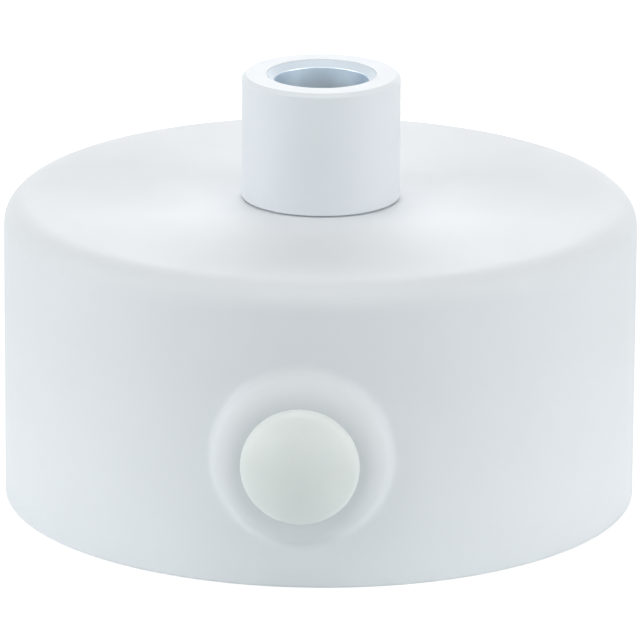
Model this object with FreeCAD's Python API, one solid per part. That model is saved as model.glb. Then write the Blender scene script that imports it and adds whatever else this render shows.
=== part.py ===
import FreeCAD
import Part
import math
import os

# Small surface-mounted ceiling rose for a pendant cord, in millimetres.
# The frame: the ceiling plane is z = 0, the collar points along +Z, and the side outlet faces -Y.
# Everything is built standing on its open rim, as it stands on a table before it goes up.

# Cup
cup_diameter = 80.0
cup_height = 38.5
cup_wall = 1.0
cup_edge_radius = 3.4
rim_edge_break = 0.2

# Side outlet, pressed out of the cup's wall
outlet_height = 16.7
outlet_hole_diameter = 10.2
boss_diameter = 21.4
boss_rise = 3.2
boss_shoulder_radius = 3.0
boss_root_radius = 1.5

# Push-in plug of the side outlet
plug_head_diameter = 14.6
plug_head_rise = 3.9
plug_head_skirt = 0.3
plug_head_edge_radius = 1.8
plug_stem_clearance = 0.05
plug_neck_depth = 0.15
plug_stem_length = 8.0
plug_stem_wall = 1.2
plug_tip_chamfer = 0.7
plug_slot_width = 1.6
plug_slot_stop = 2.0
plug_recess_width = 1.0
plug_recess_depth = 0.8

# Hollow threaded nipple, drawn at its thread's outer diameter
nipple_diameter = 10.0
nipple_wall = 1.0
nipple_engagement = 6.5
nipple_end_gap = 0.5
nipple_tail = 2.5
nipple_chamfer = 0.5
thread_clearance = 0.05
centre_hole_clearance = 0.25

# Collar that screws onto the nipple and grips the cord
collar_diameter = 20.0
collar_height = 16.0
collar_top_chamfer = 0.5
collar_foot_chamfer = 0.3
collar_thread_chamfer = 0.5
collar_ledge_width = 0.9
collar_mouth_chamfer = 0.85

# Split bush and grub screw inside the collar
clamp_bush_height = 4.2
clamp_bush_bore_diameter = 7.2
clamp_bush_clearance = 0.1
clamp_bush_slit = 1.2
clamp_bush_chamfer = 0.4
grub_diameter = 4.0
grub_recess = 0.3
grub_tip_gap = 0.1
grub_tip_chamfer = 0.4
grub_socket_across_flats = 2.0
grub_socket_depth = 1.8

# Mounting bracket, one bent strip
bracket_thickness = 1.5
bracket_width = 14.0
bracket_headroom = 10.5
bracket_cup_gap = 3.5
bracket_bend_radius = 1.0
bracket_corner_radius = 3.0
bracket_hole_clearance = 0.2
ceiling_slot_length = 10.0
ceiling_slot_width = 4.5
ceiling_slot_end_margin = 1.0
ceiling_slot_leg_margin = 1.5
tab_nut_gap = 1.0
tab_side_margin = 4.1
tab_tip_margin = 4.25

# Lock nuts, toothed washer and edge bush on the nipple
lock_nut_across_flats = 14.0
lock_nut_thickness = 3.0
lock_nut_corner_drop = 0.5
washer_diameter = 16.4
washer_thickness = 0.8
washer_teeth = 12
washer_notch_width = 1.5
washer_notch_depth = 1.7
edge_bush_flange_lip = 0.7
edge_bush_flange_thickness = 1.0
edge_bush_wall = 0.45
edge_bush_clearance = 0.05
edge_bush_length = 6.0
edge_bush_rounding = 0.4

# Earth screw with its saddle washer, on the bracket's bridge
earth_screw_diameter = 4.0
earth_screw_reach = 4.0
earth_head_diameter = 7.0
earth_head_height = 2.6
earth_saddle_length = 7.5
earth_saddle_head_gap = 0.2
earth_saddle_thickness = 0.8
earth_saddle_lip = 1.4
earth_saddle_washer_gap = 0.6

# Terminal block on the bracket's tab
pole_names = ("live", "earth", "neutral")
pole_wall = 0.8
pole_floor = 1.25
pole_roof = 1.65
pole_length = 17.0
pole_head_gap = 0.15
tower_end_margin = 4.3
tower_wall = 0.8
tower_head_gap = 0.2
tower_rise = 5.4
sleeve_diameter = 4.2
sleeve_wall = 0.7
sleeve_recess = 1.5
sleeve_clearance = 0.05
web_thickness = 2.4
web_length = 9.0
terminal_screw_diameter = 2.5
terminal_screw_head_diameter = 3.8
terminal_screw_head_height = 1.8
terminal_screw_recess = 2.2
terminal_screw_grip = 0.3
fixing_screw_diameter = 2.0
fixing_screw_head_diameter = 3.6
fixing_screw_head_height = 1.6
fixing_screw_end = 1.2

# Straight slots of the screw heads
slot_width = 0.6
slot_depth = 0.8
earth_slot_width = 1.2
earth_slot_depth = 1.2

# Levels and radii that follow from the sizes above
cup_radius = cup_diameter / 2
boss_face = cup_radius + boss_rise
outlet_hole_radius = outlet_hole_diameter / 2
nipple_radius = nipple_diameter / 2
nipple_bore_radius = nipple_radius - nipple_wall
nut_bore_radius = nipple_radius + thread_clearance
nipple_top = cup_height + nipple_engagement
collar_top = cup_height + collar_height
collar_radius = collar_diameter / 2
collar_mouth_radius = nut_bore_radius + collar_ledge_width
collar_shoulder = nipple_top + nipple_end_gap
clamp_bush_radius = collar_mouth_radius - clamp_bush_clearance
bridge_top = cup_height - bracket_headroom
bridge_underside = bridge_top - bracket_thickness
nipple_foot = bridge_underside - lock_nut_thickness - nipple_tail
bracket_outer_bend = bracket_bend_radius + bracket_thickness
foot_end = cup_radius - cup_wall - bracket_cup_gap
ceiling_slot_place = foot_end - ceiling_slot_end_margin - ceiling_slot_length / 2
leg_face = ceiling_slot_place - ceiling_slot_length / 2 - ceiling_slot_leg_margin
bridge_flat_end = leg_face - bracket_outer_bend
earth_screw_place = -(washer_diameter / 2 + earth_saddle_washer_gap + earth_saddle_length / 2)
tab_inner_face = lock_nut_across_flats / 2 + tab_nut_gap
tab_face = tab_inner_face + bracket_thickness
terminal_height = bridge_underside / 2
pole_bore_radius = sleeve_diameter / 2 + sleeve_clearance
pole_half_width = pole_bore_radius + pole_wall
pole_pitch = 2 * pole_half_width + fixing_screw_head_diameter + 2 * pole_head_gap
sleeve_axis_level = pole_floor + pole_bore_radius
pole_top = sleeve_axis_level + pole_bore_radius + pole_roof
tower_top = pole_top + tower_rise
tower_bore_radius = terminal_screw_head_diameter / 2 + tower_head_gap
tab_half_width = pole_pitch / 2 + tab_side_margin
OVERCUT = 1.0
TINY = 0.001

X_AXIS = FreeCAD.Vector(1, 0, 0)
Y_AXIS = FreeCAD.Vector(0, 1, 0)
Z_AXIS = FreeCAD.Vector(0, 0, 1)
ORIGIN = FreeCAD.Vector(0, 0, 0)


def outline(*steps):
    """A closed face in the XZ plane. A step is a corner (x, z), or (through, end) for an arc."""
    start = FreeCAD.Vector(steps[0][0], 0, steps[0][1])
    here = start
    edges = []
    for step in list(steps[1:]) + [steps[0]]:
        if isinstance(step[0], tuple):
            through = FreeCAD.Vector(step[0][0], 0, step[0][1])
            end = FreeCAD.Vector(step[1][0], 0, step[1][1])
            edges.append(Part.Arc(here, through, end).toShape())
        else:
            end = FreeCAD.Vector(step[0], 0, step[1])
            edges.append(Part.LineSegment(here, end).toShape())
        here = end
    return Part.Face(Part.Wire(edges))


def corner_arc(centre, radius, start_angle, end_angle):
    """An arc step for outline(), from its centre, radius and two angles in degrees."""
    middle = math.radians((start_angle + end_angle) / 2)
    end = math.radians(end_angle)
    through = (centre[0] + radius * math.cos(middle), centre[1] + radius * math.sin(middle))
    return through, (centre[0] + radius * math.cos(end), centre[1] + radius * math.sin(end))


def turned(*steps):
    """A solid turned about Z from its outline."""
    return outline(*steps).revolve(ORIGIN, Z_AXIS, 360)


def rod(radius, length, base=ORIGIN, direction=Z_AXIS):
    """A round bar from its base."""
    return Part.makeCylinder(radius, length, base, direction)


def block(x_low, x_high, y_low, y_high, z_low, z_high):
    """A box from its limits."""
    corner = FreeCAD.Vector(x_low, y_low, z_low)
    return Part.makeBox(x_high - x_low, y_high - y_low, z_high - z_low, corner)


def prism(across_flats, length, base=ORIGIN):
    """A hexagonal bar along Z, with two corners on the X axis."""
    reach = across_flats / math.sqrt(3)
    corners = []
    for step in range(7):
        angle = math.radians(60 * step)
        corners.append(base + FreeCAD.Vector(reach * math.cos(angle), reach * math.sin(angle), 0))
    return Part.Face(Part.makePolygon(corners)).extrude(FreeCAD.Vector(0, 0, length))


def moved(shape, x=0.0, y=0.0, z=0.0):
    """A copy of the shape, moved."""
    copy = shape.copy()
    copy.translate(FreeCAD.Vector(x, y, z))
    return copy


def facing_front(shape, y, z):
    """A shape made along +Z, laid to point along -Y, with its own origin at that place."""
    copy = shape.copy()
    copy.rotate(ORIGIN, X_AXIS, 90)
    copy.translate(FreeCAD.Vector(0, y, z))
    return copy


def facing_back(shape, y, z):
    """A shape made along +Z, laid to point along +Y, with its own origin at that place."""
    copy = shape.copy()
    copy.rotate(ORIGIN, X_AXIS, -90)
    copy.translate(FreeCAD.Vector(0, y, z))
    return copy


def fused(shapes):
    """One solid from shapes that touch or overlap, without seams between them."""
    whole = shapes[0]
    if len(shapes) > 1:
        whole = whole.fuse(shapes[1:])
    return whole.removeSplitter()


def pressed_form(inset):
    """The solid form of cup and side boss, set in by a distance all over: 0 outside, the wall inside."""
    radius = cup_radius - inset
    top = cup_height - inset
    edge = cup_edge_radius - inset
    foot = -OVERCUT if inset else 0.0
    corner = (radius - edge, top - edge)
    body = turned((0, foot), (radius, foot), (radius, corner[1]), corner_arc(corner, edge, 0, 90), (0, top))
    boss_radius = boss_diameter / 2 - inset
    boss_end = boss_face - inset
    shoulder = boss_shoulder_radius - inset
    boss_corner = (boss_radius - shoulder, boss_end - shoulder)
    boss_start = cup_radius / 2
    boss = turned(
        (0, boss_start),
        (boss_radius, boss_start),
        (boss_radius, boss_corner[1]),
        corner_arc(boss_corner, shoulder, 0, 90),
        (0, boss_end),
    )
    whole = body.fuse(facing_front(boss, 0, outlet_height)).removeSplitter()
    root = [edge for edge in whole.Edges if on_boss_root(edge, radius, boss_radius)]
    return whole.makeFillet(boss_root_radius + inset, root)


def on_boss_root(edge, wall_radius, boss_radius):
    """Whether an edge runs where the boss leaves the cup's round wall."""
    for point in edge.discretize(5):
        off_wall = abs(math.hypot(point.x, point.y) - wall_radius)
        from_boss_axis = math.hypot(point.x, point.z - outlet_height)
        if off_wall > TINY or from_boss_axis > boss_radius + TINY or point.y > 0:
            return False
    return True


def make_cup():
    """Drawn steel cup with its pressed side boss, outlet hole and centre hole."""
    shell = pressed_form(0).cut(pressed_form(cup_wall))
    centre_hole = rod(nipple_radius + centre_hole_clearance, cup_height + OVERCUT)
    outlet_hole = facing_front(rod(outlet_hole_radius, boss_face + OVERCUT), 0, outlet_height)
    shell = shell.cut([centre_hole, outlet_hole])
    rim = []
    for edge in shell.Edges:
        box = edge.BoundBox
        if abs(box.ZMax) < TINY and abs(box.XMax - cup_radius) < TINY:
            rim.append(edge)
    return shell.makeChamfer(rim_edge_break, rim)


def make_plug():
    """Domed nylon plug with a split tubular stem, pushed into the side outlet."""
    head = plug_head_diameter / 2
    edge = plug_head_edge_radius
    cap_height = plug_head_rise - plug_head_skirt
    edge_centre = (head - edge, plug_head_skirt)
    dome_radius = (edge_centre[0] ** 2 + cap_height**2 - edge**2) / (2 * (cap_height - edge))
    dome_centre = (0.0, plug_head_rise - dome_radius)
    edge_angle = math.degrees(math.asin((dome_radius - cap_height) / (dome_radius - edge)))
    lip = outlet_hole_radius - plug_stem_clearance
    neck = lip - plug_neck_depth
    neck_end = -cup_wall - plug_neck_depth
    bore = lip - plug_stem_wall
    recess_outer = lip + plug_recess_width
    body = turned(
        (0, 0),
        (0, -OVERCUT),
        (bore, -OVERCUT),
        (bore, -plug_stem_length),
        (lip - plug_tip_chamfer, -plug_stem_length),
        (lip, -plug_stem_length + plug_tip_chamfer),
        (lip, neck_end - plug_neck_depth),
        (neck, neck_end),
        (neck, plug_recess_depth),
        (recess_outer, plug_recess_depth),
        (recess_outer, 0),
        (head, 0),
        (head, plug_head_skirt),
        corner_arc(edge_centre, edge, 0, edge_angle),
        corner_arc(dome_centre, dome_radius, edge_angle, 90),
    )
    half = plug_slot_width / 2
    reach = lip + OVERCUT
    bottom = -plug_stem_length - OVERCUT
    slots = [
        block(-half, half, -reach, reach, bottom, -plug_slot_stop),
        block(-reach, reach, -half, half, bottom, -plug_slot_stop),
    ]
    return facing_front(body.cut(slots), -boss_face, outlet_height)


def make_nipple():
    """Hollow threaded nipple that ties bracket and collar together."""
    chamfer = nipple_chamfer
    return turned(
        (nipple_bore_radius, nipple_foot),
        (nipple_radius - chamfer, nipple_foot),
        (nipple_radius, nipple_foot + chamfer),
        (nipple_radius, nipple_top - chamfer),
        (nipple_radius - chamfer, nipple_top),
        (nipple_bore_radius, nipple_top),
    )


def grub_level():
    """Height of the grub screw's axis, at the middle of the clamp bush."""
    return collar_shoulder + clamp_bush_height / 2


def make_collar():
    """Turned collar: threaded below, with a wide mouth above for the clamp bush and the cord."""
    body = turned(
        (nut_bore_radius + collar_thread_chamfer, cup_height),
        (collar_radius - collar_foot_chamfer, cup_height),
        (collar_radius, cup_height + collar_foot_chamfer),
        (collar_radius, collar_top - collar_top_chamfer),
        (collar_radius - collar_top_chamfer, collar_top),
        (collar_mouth_radius + collar_mouth_chamfer, collar_top),
        (collar_mouth_radius, collar_top - collar_mouth_chamfer),
        (collar_mouth_radius, collar_shoulder),
        (nut_bore_radius, collar_shoulder),
        (nut_bore_radius, cup_height + collar_thread_chamfer),
    )
    hole_base = FreeCAD.Vector(0, 0, grub_level())
    hole = rod(grub_diameter / 2 + thread_clearance, collar_radius + OVERCUT, hole_base, Y_AXIS)
    return body.cut(hole)


def make_clamp_bush():
    """Split nylon bush that the grub screw closes on the cord."""
    bore = clamp_bush_bore_diameter / 2
    top = collar_shoulder + clamp_bush_height
    ring = turned(
        (bore, collar_shoulder),
        (clamp_bush_radius, collar_shoulder),
        (clamp_bush_radius, top),
        (bore + clamp_bush_chamfer, top),
        (bore, top - clamp_bush_chamfer),
    )
    half = clamp_bush_slit / 2
    reach = clamp_bush_radius + OVERCUT
    slit = block(-half, half, -reach, 0, collar_shoulder - OVERCUT, top + OVERCUT)
    return ring.cut(slit)


def make_grub_screw():
    """Headless screw in the collar's back, pointing at the bush."""
    radius = grub_diameter / 2
    tip = clamp_bush_radius + grub_tip_gap
    end = collar_radius - grub_recess
    body = turned(
        (0, tip),
        (radius - grub_tip_chamfer, tip),
        (radius, tip + grub_tip_chamfer),
        (radius, end),
        (0, end),
    )
    socket_base = FreeCAD.Vector(0, 0, end - grub_socket_depth)
    socket = prism(grub_socket_across_flats, grub_socket_depth + OVERCUT, socket_base)
    return facing_back(body.cut(socket), 0, grub_level())


def strip_profile():
    """The bracket's side outline: foot, leg, bridge, leg and foot, with bends of constant thickness."""
    inner = bracket_bend_radius
    outer = bracket_outer_bend
    foot_bend = (leg_face + inner, outer)
    bridge_bend = (bridge_flat_end, bridge_top - outer)
    leg_back = leg_face - bracket_thickness

    def mirrored_arc(centre, radius, start_angle, end_angle):
        return corner_arc((-centre[0], centre[1]), radius, 180 - start_angle, 180 - end_angle)

    return outline(
        (foot_end, 0),
        (foot_end, bracket_thickness),
        (foot_bend[0], bracket_thickness),
        corner_arc(foot_bend, inner, 270, 180),
        (leg_face, bridge_bend[1]),
        corner_arc(bridge_bend, outer, 0, 90),
        (-bridge_bend[0], bridge_top),
        mirrored_arc(bridge_bend, outer, 90, 0),
        (-leg_face, foot_bend[1]),
        mirrored_arc(foot_bend, inner, 180, 270),
        (-foot_end, bracket_thickness),
        (-foot_end, 0),
        (-foot_bend[0], 0),
        mirrored_arc(foot_bend, outer, 270, 180),
        (-leg_back, bridge_bend[1]),
        mirrored_arc(bridge_bend, inner, 0, 90),
        (bridge_bend[0], bridge_underside),
        corner_arc(bridge_bend, inner, 90, 0),
        (leg_back, foot_bend[1]),
        corner_arc(foot_bend, outer, 180, 270),
    )


def make_tab():
    """The tab that is bent down behind the lower nut to carry the terminal block."""
    bend = (tab_inner_face - bracket_bend_radius, bridge_top - bracket_outer_bend)
    tip = terminal_height - tab_tip_margin
    side = outline(
        (0, bridge_underside),
        (bend[0], bridge_underside),
        corner_arc(bend, bracket_bend_radius, 90, 0),
        (tab_inner_face, tip),
        (tab_face, tip),
        (tab_face, bend[1]),
        corner_arc(bend, bracket_outer_bend, 0, 90),
        (0, bridge_top),
    )
    side.rotate(ORIGIN, Z_AXIS, 90)
    tab = side.extrude(FreeCAD.Vector(2 * tab_half_width, 0, 0))
    tab.translate(FreeCAD.Vector(-tab_half_width, 0, 0))
    corners = []
    for edge in tab.Edges:
        box = edge.BoundBox
        if box.ZMax < tip + TINY and box.XLength < TINY:
            corners.append(edge)
    return tab.makeFillet(bracket_corner_radius, corners)


def ceiling_slot(x):
    """One slot of a foot, as the shape to cut away."""
    radius = ceiling_slot_width / 2
    half = ceiling_slot_length / 2 - radius
    height = bracket_thickness + 2 * OVERCUT
    middle = block(x - half, x + half, -radius, radius, -OVERCUT, height - OVERCUT)
    ends = [rod(radius, height, FreeCAD.Vector(x + side * half, 0, -OVERCUT)) for side in (-1, 1)]
    return fused([middle] + ends)


def fixing_positions():
    """The X of each screw that holds the terminal block to the tab."""
    return (-pole_pitch / 2, pole_pitch / 2)


def make_bracket():
    """Mounting bracket: a raised bridge on two slotted feet, with the terminal tab."""
    strip = strip_profile()
    strip.translate(FreeCAD.Vector(0, -bracket_width / 2, 0))
    strip = strip.extrude(FreeCAD.Vector(0, bracket_width, 0))
    corners = []
    for edge in strip.Edges:
        box = edge.BoundBox
        at_end = box.XMin > foot_end - TINY or box.XMax < -foot_end + TINY
        if at_end and box.YLength < TINY:
            corners.append(edge)
    strip = strip.makeFillet(bracket_corner_radius, corners)
    body = fused([strip, make_tab()])
    cuts = [ceiling_slot(side * ceiling_slot_place) for side in (-1, 1)]
    hole_base = FreeCAD.Vector(0, 0, bridge_underside - OVERCUT)
    hole_depth = bracket_thickness + 2 * OVERCUT
    cuts.append(rod(nipple_radius + bracket_hole_clearance, hole_depth, hole_base))
    earth_base = hole_base + FreeCAD.Vector(earth_screw_place, 0, 0)
    cuts.append(rod(earth_screw_diameter / 2 + thread_clearance, hole_depth, earth_base))
    for x in fixing_positions():
        base = FreeCAD.Vector(x, tab_inner_face - OVERCUT, terminal_height)
        cuts.append(rod(fixing_screw_diameter / 2 + thread_clearance, hole_depth, base, Y_AXIS))
    return body.cut(cuts)


def lock_nut(level):
    """A thin hexagonal nut on the nipple, with its corners turned off, its lower face at that level."""
    reach = lock_nut_across_flats / math.sqrt(3)
    flat = lock_nut_across_flats / 2
    drop = lock_nut_corner_drop
    top = lock_nut_thickness
    turned_form = turned(
        (nut_bore_radius, 0),
        (flat, 0),
        (reach, drop),
        (reach, top - drop),
        (flat, top),
        (nut_bore_radius, top),
    )
    return moved(turned_form.common(prism(lock_nut_across_flats, top)), z=level)


def make_toothed_washer():
    """Lock washer with teeth round its outside, on the bridge."""
    outer = washer_diameter / 2
    ring = rod(outer, washer_thickness).cut(rod(nut_bore_radius, washer_thickness))
    half = washer_notch_width / 2
    notch = block(outer - washer_notch_depth, outer + OVERCUT, -half, half, 0, washer_thickness)
    notches = []
    for step in range(washer_teeth):
        copy = notch.copy()
        copy.rotate(ORIGIN, Z_AXIS, 360.0 * step / washer_teeth)
        notches.append(copy)
    return moved(ring.cut(notches), z=bridge_top)


def make_edge_bush():
    """Flanged nylon sleeve that keeps the nipple's lower edge off the cord."""
    sleeve = nipple_bore_radius - edge_bush_clearance
    bore = sleeve - edge_bush_wall
    flange = nipple_radius + edge_bush_flange_lip
    foot = nipple_foot - edge_bush_flange_thickness
    rounding = edge_bush_rounding
    return turned(
        (bore, foot + rounding),
        corner_arc((bore + rounding, foot + rounding), rounding, 180, 270),
        (flange, foot),
        (flange, nipple_foot),
        (sleeve, nipple_foot),
        (sleeve, nipple_foot + edge_bush_length),
        (bore, nipple_foot + edge_bush_length),
    )


def make_saddle_washer():
    """Earth washer with two lips that hold the wire under the screw's head."""
    half = earth_saddle_length / 2
    inner = earth_head_diameter / 2 + earth_saddle_head_gap
    outer = inner + earth_saddle_thickness
    thickness = earth_saddle_thickness
    plate = block(-half, half, -outer, outer, 0, thickness)
    lips = [
        block(-half, half, inner, outer, 0, thickness + earth_saddle_lip),
        block(-half, half, -outer, -inner, 0, thickness + earth_saddle_lip),
    ]
    hole = rod(earth_screw_diameter / 2 + thread_clearance, thickness)
    return moved(fused([plate] + lips).cut(hole), x=earth_screw_place, z=bridge_top)


def make_earth_screw():
    """Cheese-head earth screw, through the saddle washer and on below the bridge."""
    seat = bridge_top + earth_saddle_thickness
    screw = slotted_screw(
        (earth_screw_diameter / 2, earth_head_diameter / 2, earth_head_height),
        (bridge_underside - earth_screw_reach, seat),
        (earth_slot_width, earth_slot_depth),
    )
    return moved(screw, x=earth_screw_place)


def pole_positions():
    """The X of each pole of the terminal block, from left to right."""
    middle = (len(pole_names) - 1) / 2
    return [(index - middle) * pole_pitch for index in range(len(pole_names))]


def screw_offsets():
    """How far each clamping screw stands from a pole's middle, along the wire."""
    reach = pole_length / 2 - tower_end_margin
    return (-reach, reach)


def one_pole(x):
    """One insulated pole before boring: a rounded body along the wire, with two screw towers."""
    half = pole_half_width
    body = block(x - half, x + half, -pole_length / 2, pole_length / 2, 0, pole_top)
    long_edges = []
    for edge in body.Edges:
        box = edge.BoundBox
        if box.ZMin > pole_top - TINY and box.XLength < TINY:
            long_edges.append(edge)
    body = body.makeFillet(half - pole_wall, long_edges)
    towers = []
    for offset in screw_offsets():
        base = FreeCAD.Vector(x, offset, 0)
        towers.append(rod(tower_bore_radius + tower_wall, tower_top, base))
    return [body] + towers


def make_terminal_housing():
    """Moulded housing of the terminal block: poles side by side on a web, base against the tab."""
    solids = []
    cuts = []
    for x in pole_positions():
        solids += one_pole(x)
        base = FreeCAD.Vector(x, -pole_length / 2 - OVERCUT, sleeve_axis_level)
        cuts.append(rod(pole_bore_radius, pole_length + 2 * OVERCUT, base, Y_AXIS))
        for offset in screw_offsets():
            tower_base = FreeCAD.Vector(x, offset, sleeve_axis_level)
            cuts.append(rod(tower_bore_radius, tower_top, tower_base))
    reach = pole_positions()[-1]
    solids.append(block(-reach, reach, -web_length / 2, web_length / 2, 0, web_thickness))
    for x in fixing_positions():
        hole = fixing_screw_diameter / 2 + thread_clearance
        cuts.append(rod(hole, web_thickness + 2 * OVERCUT, FreeCAD.Vector(x, 0, -OVERCUT)))
    return facing_back(fused(solids).cut(cuts), tab_face, terminal_height)


def make_terminal_sleeve(x):
    """Brass sleeve of one pole, with two tapped holes for its screws."""
    length = pole_length - 2 * sleeve_recess
    radius = sleeve_diameter / 2
    base = FreeCAD.Vector(x, -length / 2, sleeve_axis_level)
    tube = rod(radius, length, base, Y_AXIS)
    holes = [rod(radius - sleeve_wall, length, base, Y_AXIS)]
    for offset in screw_offsets():
        tapped = FreeCAD.Vector(x, offset, sleeve_axis_level)
        holes.append(rod(terminal_screw_diameter / 2 + thread_clearance, sleeve_diameter, tapped))
    return facing_back(tube.cut(holes), tab_face, terminal_height)


def slotted_screw(radii, levels, slot):
    """A cheese-head screw along Z: (shank, head, head height), (tip, seat) and (slot width, depth)."""
    shank_radius, head_radius, head_height = radii
    tip, seat = levels
    top = seat + head_height
    body = turned(
        (0, tip),
        (shank_radius, tip),
        (shank_radius, seat),
        (head_radius, seat),
        (head_radius, top),
        (0, top),
    )
    half = slot[0] / 2
    reach = head_radius + OVERCUT
    return body.cut(block(-reach, reach, -half, half, top - slot[1], top + OVERCUT))


def make_terminal_screw(x, offset):
    """Clamping screw in one tower, down through the sleeve's wall."""
    head_top = tower_top - terminal_screw_recess
    screw = slotted_screw(
        (terminal_screw_diameter / 2, terminal_screw_head_diameter / 2, terminal_screw_head_height),
        (sleeve_axis_level + terminal_screw_grip, head_top - terminal_screw_head_height),
        (slot_width, slot_depth),
    )
    return facing_back(moved(screw, x=x, y=offset), tab_face, terminal_height)


def make_fixing_screw(x):
    """Screw that holds the terminal block's web to the bracket's tab."""
    screw = slotted_screw(
        (fixing_screw_diameter / 2, fixing_screw_head_diameter / 2, fixing_screw_head_height),
        (-bracket_thickness - fixing_screw_end, web_thickness),
        (slot_width, slot_depth),
    )
    return facing_back(moved(screw, x=x), tab_face, terminal_height)


def terminal_parts():
    """Every piece of the terminal block, by node name."""
    parts = {"terminal_housing": make_terminal_housing()}
    for name, x in zip(pole_names, pole_positions()):
        parts["terminal_sleeve_" + name] = make_terminal_sleeve(x)
        for end, offset in zip(("lamp", "mains"), screw_offsets()):
            parts["terminal_screw_" + name + "_" + end] = make_terminal_screw(x, offset)
    for side, x in zip(("left", "right"), fixing_positions()):
        parts["terminal_fixing_screw_" + side] = make_fixing_screw(x)
    return parts


def main():
    parts = {
        "cup": make_cup(),
        "side_outlet_plug": make_plug(),
        "threaded_nipple": make_nipple(),
        "cord_grip_collar": make_collar(),
        "cord_clamp_bush": make_clamp_bush(),
        "collar_grub_screw": make_grub_screw(),
        "mounting_bracket": make_bracket(),
        "upper_lock_nut": lock_nut(bridge_top + washer_thickness),
        "lower_lock_nut": lock_nut(bridge_underside - lock_nut_thickness),
        "toothed_washer": make_toothed_washer(),
        "nipple_edge_bush": make_edge_bush(),
        "earth_saddle_washer": make_saddle_washer(),
        "earth_screw": make_earth_screw(),
    }
    parts.update(terminal_parts())
    os.makedirs("parts", exist_ok=True)
    for name, shape in parts.items():
        solid = shape.Solids[0]
        print(name, len(shape.Solids), round(solid.Volume, 2), solid.isValid())
        solid.exportStep(os.path.join("parts", name + ".step"))


main()
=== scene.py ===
"""Looks of a small painted ceiling rose, built round its fixed frame."""

import math

import bmesh
import bpy
from bpy.props import FloatProperty, FloatVectorProperty, IntProperty, PointerProperty
from mathutils import Matrix, Vector


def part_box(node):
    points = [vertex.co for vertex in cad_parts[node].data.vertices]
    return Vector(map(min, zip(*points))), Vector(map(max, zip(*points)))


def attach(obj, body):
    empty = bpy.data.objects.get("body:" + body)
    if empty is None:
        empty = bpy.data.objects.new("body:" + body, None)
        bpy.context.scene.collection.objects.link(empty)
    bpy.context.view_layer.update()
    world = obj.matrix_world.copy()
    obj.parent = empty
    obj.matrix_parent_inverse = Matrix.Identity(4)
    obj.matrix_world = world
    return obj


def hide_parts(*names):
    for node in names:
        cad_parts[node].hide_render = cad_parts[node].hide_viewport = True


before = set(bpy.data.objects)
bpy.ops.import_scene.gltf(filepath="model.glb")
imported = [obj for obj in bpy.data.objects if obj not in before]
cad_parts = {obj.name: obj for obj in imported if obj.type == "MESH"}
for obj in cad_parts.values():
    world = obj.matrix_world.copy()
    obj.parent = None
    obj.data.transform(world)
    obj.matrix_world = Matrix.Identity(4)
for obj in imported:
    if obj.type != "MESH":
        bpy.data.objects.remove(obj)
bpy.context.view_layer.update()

bl_info = {
    "name": "Ceiling Rose",
    "version": (1, 0, 0),
    "blender": (4, 5, 0),
    "location": "3D View > Sidebar > Ceiling Rose",
    "description": "Builds a painted ceiling rose with its cord grip, outlet plug, bracket and terminals",
    "category": "Object",
}

MM = 0.001
TINY = 1e-6
FULL_TURN = 2 * math.pi
QUARTER_TURN = math.pi / 2
POLES = ("live", "earth", "neutral")
POLE_ENDS = ("lamp", "mains")
SIDES = ("left", "right")

# How finely the round pieces are turned, and small corners rounded
FINE = 256
MEDIUM = 96
SMALL = 48
CORNER_STEPS = 5
SHARP_ABOVE = math.radians(32)

# Samples of a thread in one pitch, and the flat and the depth of a thread as shares of its pitch
THREAD_SAMPLES = 8
THREAD_FLAT = 0.125
THREAD_DEPTH = 0.55

MATT_SPECULAR = 0.3

# Painted light and shade: the cup's paint is paler towards the rim below this height, darker on the boss
RIM_PAINTED_LIGHT = 1.09
PAINTED_LIGHT_HEIGHT = 27 * MM
BOSS_PAINTED_SHADE = 0.955
BOSS_PAINTED_SHADE_RISE = 0.6 * MM


class Solid:
    """The box of one plain solid of the frame."""

    def __init__(self, node):
        self.low, self.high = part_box(node)
        self.middle = (self.low + self.high) / 2
        self.size = self.high - self.low


CUP = Solid("cup")
COLLAR = Solid("cord_grip_collar")
BUSH = Solid("cord_clamp_bush")
GRUB = Solid("collar_grub_screw")
PLUG = Solid("side_outlet_plug")
NIPPLE = Solid("threaded_nipple")
EDGE_BUSH = Solid("nipple_edge_bush")
WASHER = Solid("toothed_washer")
BRACKET = Solid("mounting_bracket")
SADDLE = Solid("earth_saddle_washer")
EARTH = Solid("earth_screw")
HOUSING = Solid("terminal_housing")


def length(name, millimetres, description):
    """A size that a user can change; it is given in millimetres and kept in metres."""
    return FloatProperty(
        name=name, description=description, default=millimetres * MM, min=0.0, precision=5, unit="LENGTH"
    )


def angle(name, degrees, description):
    """An angle that a user can change, given in degrees."""
    return FloatProperty(name=name, description=description, default=math.radians(degrees), subtype="ANGLE")


def colour(name, default, description):
    """A colour that a user can change."""
    return FloatVectorProperty(
        name=name, description=description, default=default, subtype="COLOR", size=3, min=0.0, max=1.0
    )


def power(name, default, where):
    """The power of one lamp, in watts."""
    description = "Power of the lamp " + where
    return FloatProperty(name=name, description=description, default=default, min=0.0, unit="POWER")


def amount(name, default, description):
    """A plain number that a user can change."""
    return FloatProperty(name=name, description=description, default=default)


class CupSizes(bpy.types.PropertyGroup):
    """Sizes of the drawn cup and of the side boss pressed out of it."""

    wall: length("Wall", 1.0, "Thickness of the drawn sheet")
    edge_radius: length("Top edge", 3.4, "Outer radius of the drawn top edge")
    boss_diameter: length("Boss", 21.4, "Outer diameter of the pressed side boss")
    boss_shoulder: length("Boss shoulder", 3.0, "Radius of the boss's rounded shoulder")
    boss_root: length("Boss root", 1.5, "Radius where the boss leaves the wall")
    outlet_diameter: length("Outlet", 10.2, "Diameter of the side outlet's hole")
    centre_hole_diameter: length("Centre hole", 10.5, "Diameter of the hole for the nipple")
    edge_break: length("Edge break", 0.15, "Rounding of the sheet's cut edges")


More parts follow.
